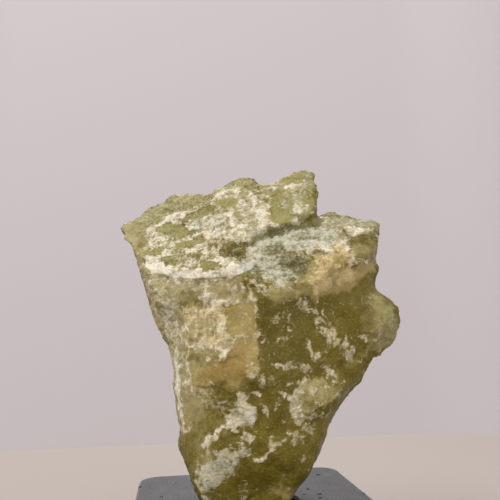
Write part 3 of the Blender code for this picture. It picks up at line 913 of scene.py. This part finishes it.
def jade_body(tree, zone, seen):
    """The colour of the stone without its rind, with its painted shade and glow."""
    body = coated(tree, linear(JADE["deep olive"]), (seen["cloud"], 0.30, 0.72, 1.0, JADE["olive"]))
    for name, tint, share in TINTS:
        spread = frayed(tree, zone[name], (seen["cloud"], 0.9), (seen["grain"], 0.6))
        body = coated(tree, body, (spread, 0.15, 0.95, share, JADE[tint]))
    # painted shade: the hollows are darkened towards the shadow colour
    shade = add(tree, "Math", {0: zone["hollow"], 1: HOLLOW_SHADE}, operation="MULTIPLY")
    blend = {"Factor": shade, COLOUR_A: body, COLOUR_B: linear(JADE["shadow"])}
    body = add(tree, "Mix", blend, COLOUR_OUT, data_type="RGBA")
    frosted = frayed(tree, seen["frosting"], (zone["frost"], 0.25))
    return coated(
        tree, body,
        (seen["mottle"], 0.52, 0.70, 0.35, JADE["shadow"]),
        (seen["mottle"], 0.50, 0.30, 0.30, JADE["pale olive"]),
        (frosted, 0.51, 0.75, 0.55, JADE["frost"]),
    )


print("tints over the deep olive:", ", ".join(tint for _, tint, _ in TINTS))

# %% [markdown]
# ## The rind
#
# The crust goes on in two coats. The first is a thin film that only veils the
# green. The second is the rind proper, a lace that noise of a few tenths of a
# millimetre frays finer than the mesh could. Both are bluish where fresh and
# ochre where iron has stained them. The rind is brightest where it is thick,
# worn to a dingier tone where it is thin, and crossed by hairline cracks.
# Stray flecks of it stay in the bare ground.

# %% The rind
RIND = {
    "cream": "FAF2DE",
    "bluish": "D6D8C8",
    "ochre": "E3CE9A",
    "worn": "CDC29D",
    "worn ochre": "D3BC86",
    "film": "C2B98F",
    "cool film": "BABBA4",
    "ochre film": "CDB47A",
    "crack": "8A7B55",
}
COOL_COAT = (0.2, 0.8, 1.0)   # start, full and share
OCHRE_COAT = (0.2, 0.9, 1.0)
FLECK_SHARE = 0.34


def stained(tree, zone, plain, cool, ochre):
    """A tone of the rind, with its bluish and its ochre parts."""
    return coated(
        tree, linear(RIND[plain]),
        (zone["cool"], *COOL_COAT, RIND[cool]),
        (zone["ochre"], *OCHRE_COAT, RIND[ochre]),
    )


def thin_film(tree, zone, seen, body):
    """The body's colour, veiled by the thin film."""
    swings = (seen["cloud"], 0.7), (seen["grain"], 0.9), (zone["waxy"], -0.08)
    film = stained(tree, zone, "film", "cool film", "ochre film")
    return coated(tree, body, (frayed(tree, zone["crust"], *swings), 0.32, 0.78, 0.65, film))


def rind_colour(tree, zone, seen):
    """The colour of the rind proper."""
    worn = coated(tree, linear(RIND["worn"]), (zone["ochre"], *OCHRE_COAT, RIND["worn ochre"]))
    fresh = stained(tree, zone, "cream", "bluish", "ochre")
    swings = (seen["mottle"], 2.6), (seen["frosting"], 1.8), (zone["frost"], 0.8)
    bright = frayed(tree, zone["crust"], *swings)
    off_middle = add(tree, "Math", {0: seen["crack"], 1: 0.5}, operation="SUBTRACT")
    cracked = add(tree, "Math", {0: off_middle}, operation="ABSOLUTE")
    return coated(
        tree, worn,
        (bright, 0.16, 1.64, 1.0, fresh),
        (cracked, 0.035, 0.0, 0.50, RIND["crack"]),
    )


def rind_cover(tree, zone, seen):
    """How far the rind covers the stone, flecks included."""
    lace = frayed(tree, zone["crust"], (seen["dust"], 3.0), (seen["grain"], 0.6))
    rind = add(tree, "MapRange", {"Value": lace, "From Min": 0.38, "From Max": 0.90}, **SOFT)
    fleck = add(tree, "MapRange", {"Value": seen["fleck"], "From Min": 0.62, "From Max": 0.74}, **SOFT)
    areas = {"Value": seen["cloud"], "From Min": 0.46, "From Max": 0.64, "To Max": FLECK_SHARE}
    flecks = add(tree, "Math", {0: fleck, 1: add(tree, "MapRange", areas, **SOFT)}, operation="MULTIPLY")
    return add(tree, "Math", {0: rind, 1: flecks}, operation="MAXIMUM")


print("tones of the rind:", ", ".join(RIND))

# %% [markdown]
# ## Jade with its rind
#
# The rind lies over the body, stands a little above it and is duller. The
# fine dust of broken grains gives both their tooth, far less of it on the
# waxy faces. It is all one material, since all of it is one stone.

# %% Jade with its rind
TORN_TOOTH, WAXY_TOOTH = 1.3, 0.25         # strength of the fine relief
TORN_DULLNESS, WAXY_DULLNESS = 0.54, 0.40  # roughness
RIND_DULLNESS = 0.32                       # what the rind adds to it
RIND_STEP = 0.3
JADE_RELIEF = 0.20 * MM
JADE_LIGHT = {
    "IOR": 1.61,
    "Specular IOR Level": 0.19,  # fine broken grains hide most of the gloss
    "Subsurface Weight": 0.30,
    "Subsurface Radius": (1.0, 0.85, 0.35),
    "Subsurface Scale": 0.8 * MM,
}


def rough_jade():
    """Waxy to half matt olive stone under a chalky rind."""
    made, tree, shader = new_finish("rough_jade_fracture_and_rind")
    zone = {name: add(tree, "Attribute", result="Fac", attribute_name=name) for name in zones}
    seen = patterns(tree, JADE_PATTERNS)
    body = thin_film(tree, zone, seen, jade_body(tree, zone, seen))
    covered = rind_cover(tree, zone, seen)
    blend = {"Factor": covered, COLOUR_A: body, COLOUR_B: rind_colour(tree, zone, seen)}
    waxy = {"Value": zone["waxy"], "From Min": 0.2, "From Max": 1.0}
    tooth = add(tree, "MapRange", waxy | {"To Min": TORN_TOOTH, "To Max": WAXY_TOOTH}, **SOFT)
    dull = add(tree, "MapRange", waxy | {"To Min": TORN_DULLNESS, "To Max": WAXY_DULLNESS}, **SOFT)
    step = add(tree, "Math", {0: covered, 1: RIND_STEP}, operation="MULTIPLY")
    height = add(tree, "Math", {0: seen["dust"], 1: tooth, 2: step}, operation="MULTIPLY_ADD")
    fill(shader, JADE_LIGHT)
    fill(shader, {
        "Base Color": add(tree, "Mix", blend, COLOUR_OUT, data_type="RGBA"),
        "Roughness": add(tree, "Math", {0: covered, 1: RIND_DULLNESS, 2: dull}, operation="MULTIPLY_ADD"),
        "Normal": add(tree, "Bump", {"Height": height, "Strength": 1.0, "Distance": JADE_RELIEF}),
    })
    return made


stone.data.materials.append(rough_jade())
print("material:", stone.data.materials[0].name)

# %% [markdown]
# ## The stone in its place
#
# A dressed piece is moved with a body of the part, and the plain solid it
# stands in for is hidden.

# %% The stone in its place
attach(stone, "root")
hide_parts("jade_stone")
print("stone skin replaces the solid jade_stone")

# %% [markdown]
# ## Open pits in the block
#
# Basalt is frozen lava. Its gas bubbles were cut open when the block was
# sawn, so the flat faces have scattered round pits, and where two worn
# faces meet, small chips are gone from the edge. Both are real holes, taken
# out with one Boolean cut by a cloud of dented balls. Most pits are small
# and a few are large, as bubbles are. They keep off the socket's mouth.

# %% Open pits in the block
BLOCK_HALF = round(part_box("stand")[1][0] / MM, 3)
CORNER_RADIUS = 4.5
MOUTH_RADIUS = 10.4
PITS_ON_TOP = 90
PITS_ON_SIDE = 45
CHIPS = 26
PIT_SIZES = (0.16, 0.62)
CHIP_SIZES = (0.35, 0.75)
PIT_GAP = 0.25
PIT_MARGIN = 1.6   # mm kept free at the block's edges
CHIP_MARGIN = 0.8  # mm kept free at its rounded corners
PIT_LIFT = 0.15    # a ball's centre stands off the face by this part of its radius
CHIP_LIFT = 0.05
PIT_SEED = 11


def pit_places(rng, half_wide, half_high, how_many, keep_off):
    """Random places and radii on a flat face that don't touch each other."""
    smallest, largest = PIT_SIZES
    kept = []
    while len(kept) < how_many:
        x, y = rng.uniform(-half_wide, half_wide), rng.uniform(-half_high, half_high)
        radius = smallest + (largest - smallest) * rng.random() ** 4
        free = all(math.hypot(x - a, y - b) > radius + r + PIT_GAP for a, b, r in kept)
        if free and math.hypot(x, y) > keep_off + radius:
            kept.append((x, y, radius))
    return kept


def dented_ball(mesh, place, radii, rng):
    """Adds a ball with slightly uneven sides, stretched along X, Y and Z."""
    for point in bmesh.ops.create_icosphere(mesh, subdivisions=2, radius=1.0)["verts"]:
        uneven = 1.0 + rng.uniform(-0.10, 0.10)
        point.co = Vector([(c + uneven * n * r) * MM for c, n, r in zip(place, point.co, radii)])


def pit_cutter():
    """All the pits and chips as one mesh."""
    rng = np.random.default_rng(PIT_SEED)
    mesh = bmesh.new()
    flat = BLOCK_HALF - PIT_MARGIN
    for x, y, r in pit_places(rng, flat, flat, PITS_ON_TOP, MOUTH_RADIUS):
        radii = (r, r * rng.uniform(0.7, 1.0), 0.9 * r)
        dented_ball(mesh, (x, y, BLOCK_TOP + PIT_LIFT * r), radii, rng)
    straight = BLOCK_HALF - CORNER_RADIUS - CHIP_MARGIN
    half_high = BLOCK_TOP / 2 - PIT_MARGIN
    for way in range(4):
        turn = Matrix.Rotation(math.pi / 2 * way, 3, "Z")
        for along, up, r in pit_places(rng, straight, half_high, PITS_ON_SIDE, 0.0):
            spot = (along, -BLOCK_HALF - PIT_LIFT * r, BLOCK_TOP / 2 + up)
            radii = (r, 0.9 * r, r) if way % 2 == 0 else (0.9 * r, r, r)
            dented_ball(mesh, turn @ Vector(spot), radii, rng)
    for chip in range(CHIPS):
        along, r = rng.uniform(-straight, straight), rng.uniform(*CHIP_SIZES)
        turn = Matrix.Rotation(math.pi / 2 * (chip % 4), 3, "Z")
        spot = turn @ Vector((along, -BLOCK_HALF - CHIP_LIFT * r, BLOCK_TOP + CHIP_LIFT * r))
        dented_ball(mesh, spot, (r * rng.uniform(0.8, 1.5), r, r * 0.8), rng)
    cutter = bpy.data.meshes.new("pit_cutter")
    mesh.to_mesh(cutter)
    mesh.free()
    return cutter


print("pits and chips:", PITS_ON_TOP + 4 * PITS_ON_SIDE + CHIPS)

# %% [markdown]
# ## Cutting the pits
#
# The cut keeps a face's material slot, so the block and the balls get
# different ones for a moment. That tells afterwards which faces lie in a pit,
# and it is kept as an attribute. The flat faces are shaded flat, all others
# smooth, with a sharp edge at each rim.

# %% Cutting the pits
CUT_SLOTS = ("ground", "open")
WELD = 0.001 * MM
SHARP_ANGLE = math.radians(35)
FLAT = 0.9999  # how square to an axis a flat face's normal is


def welded_block():
    """A copy of the CAD block's mesh, with its doubled points welded."""
    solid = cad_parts["stand"].data.copy()
    mesh = bmesh.new()
    mesh.from_mesh(solid)
    bmesh.ops.remove_doubles(mesh, verts=mesh.verts, dist=WELD)
    mesh.to_mesh(solid)
    mesh.free()
    return solid


def cut_block(solid, balls):
    """The block with the balls cut out of it, each with its own slot."""
    for slot, mesh in enumerate((solid, balls)):
        mesh.materials.clear()
        for name in CUT_SLOTS:
            mesh.materials.append(bpy.data.materials.get(name) or bpy.data.materials.new(name))
        mesh.polygons.foreach_set("material_index", [slot] * len(mesh.polygons))
    made = placed("pitted_basalt_block", solid)
    tool = placed("pit_tool", balls)
    cut = made.modifiers.new("pits", "BOOLEAN")
    cut.operation = "DIFFERENCE"
    cut.solver = "EXACT"
    cut.use_self = True
    cut.object = tool
    settled(made)
    bpy.data.objects.remove(tool)
    return made


def pitted_block():
    """The CAD block with its pits cut, and how many faces lie in them."""
    made = cut_block(welded_block(), pit_cutter())
    mesh = made.data
    in_pit = np.zeros(len(mesh.polygons), np.int32)
    mesh.polygons.foreach_get("material_index", in_pit)
    keep(mesh, "open_pit", in_pit, "FACE")
    mesh.polygons.foreach_set("material_index", [0] * len(in_pit))
    mesh.materials.clear()
    mesh.attributes.remove(mesh.attributes["custom_normal"])
    mesh.set_sharp_from_angle(angle=SHARP_ANGLE)
    for face in mesh.polygons:
        face.use_smooth = max(abs(c) for c in face.normal) < FLAT
    for name in CUT_SLOTS:
        bpy.data.materials.remove(bpy.data.materials[name])
    return made, int(in_pit.sum())


block, pit_faces = pitted_block()
print("pitted block:", len(block.data.polygons), "faces,", pit_faces, "of them in pits")

# %% [markdown]
# ## Honed basalt
#
# The block is ground smooth, but not polished. Grinding leaves a dark, even,
# faintly bluish grey with tiny pale feldspar grains, fine scratches that run
# the way the block was rubbed, and paler worn edges, which also carry a
# painted highlight. The insides of the pits were never ground: they are
# darker and rougher. The pale edge, wear and painted highlight together, is
# worked out from how far a point is from the nearest two faces of the block.


# %% Honed basalt
BASALT = {
    "dark": "303034",
    "mid": "3B3A3E",
    "feldspar": "8B8A8B",
    "dim grain": "3C3C40",
    "scratch": "858487",
    # worn edges with a painted highlight
    "worn edge and highlight": "9A9899",
    "pit": "2B2A2C",
}
BASALT_PATTERNS = {
    # size in mm, detail, roughness, and scales along X, Y and Z. Real grinding
    # scratches are some 0.02 mm wide: they are drawn about six times coarser
    "cloud": (7.0, 4.0, 0.5, EVEN),
    "grain": (0.35, 2.0, 0.5, EVEN),
    "scratch": (0.12, 1.0, 0.5, (1.0, 0.02, 1.0)),
    "rubbing": (3.0, 2.0, 0.5, EVEN),
}
EDGE_PALE_FULL, EDGE_PALE_NONE = 0.5 * MM, 1.3 * MM  # from an edge
EDGE_PALE_UNEVEN = 0.8 * MM
BASALT_RELIEF = 0.05 * MM
GRAIN_SHARE, SCRATCH_SHARE = 0.6, 1.2      # of the relief
GROUND_DULLNESS, PIT_DULLNESS = 0.55, 0.9  # roughness


def edge_distance(tree):
    """How far a point is from the edge between the top and a side."""
    place = add(tree, "TexCoord", result="Object")
    x, y, z = add(tree, "SeparateXYZ", {"Vector": place}).node.outputs
    gaps = []
    for axis in (x, y):
        away = add(tree, "Math", {0: axis}, operation="ABSOLUTE")
        gaps.append(add(tree, "Math", {0: BLOCK_HALF * MM, 1: away}, operation="SUBTRACT"))
    side = add(tree, "Math", {0: gaps[0], 1: gaps[1]}, operation="MINIMUM")
    top = add(tree, "Math", {0: BLOCK_TOP * MM, 1: z}, operation="SUBTRACT")
    return add(tree, "Math", {0: side, 1: top}, operation="MAXIMUM")


def honed_basalt():
    """Dark, even, half matt stone with pale edges, worn and with a painted highlight, and duller pits."""
    made, tree, shader = new_finish("honed_basalt_ground_face")
    seen = patterns(tree, BASALT_PATTERNS)
    grain = seen["grain"]
    scratch = add(tree, "Math", {0: seen["scratch"], 1: seen["rubbing"]}, operation="MULTIPLY")
    edge_wear_and_highlight = {0: grain, 1: EDGE_PALE_UNEVEN, 2: edge_distance(tree)}
    edge = add(tree, "Math", edge_wear_and_highlight, operation="MULTIPLY_ADD")
    pit = add(tree, "Attribute", result="Fac", attribute_name="open_pit")
    colour = coated(
        tree, linear(BASALT["dark"]),
        (seen["cloud"], 0.30, 0.70, 1.0, BASALT["mid"]),
        (grain, 0.60, 0.78, 0.30, BASALT["feldspar"]),
        (grain, 0.40, 0.25, 0.50, BASALT["dim grain"]),
        (scratch, 0.26, 0.42, 0.20, BASALT["scratch"]),
        # paler edges: wear and a painted highlight
        (edge, EDGE_PALE_NONE, EDGE_PALE_FULL, 0.55, BASALT["worn edge and highlight"]),
        (pit, 0.0, 1.0, 1.0, BASALT["pit"]),
    )
    grooves = add(tree, "Math", {0: scratch, 1: SCRATCH_SHARE}, operation="MULTIPLY")
    height = add(tree, "Math", {0: grain, 1: GRAIN_SHARE, 2: grooves}, operation="MULTIPLY_ADD")
    dullness = {"Value": pit, "To Min": GROUND_DULLNESS, "To Max": PIT_DULLNESS}
    fill(shader, {
        "Base Color": colour,
        "Roughness": add(tree, "MapRange", dullness, **SOFT),
        "Normal": add(tree, "Bump", {"Height": height, "Strength": 0.5, "Distance": BASALT_RELIEF}),
        "IOR": 1.55,
    })
    return made


block.data.materials.append(honed_basalt())
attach(block, "root")
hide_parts("stand")
print("block material:", block.data.materials[0].name)
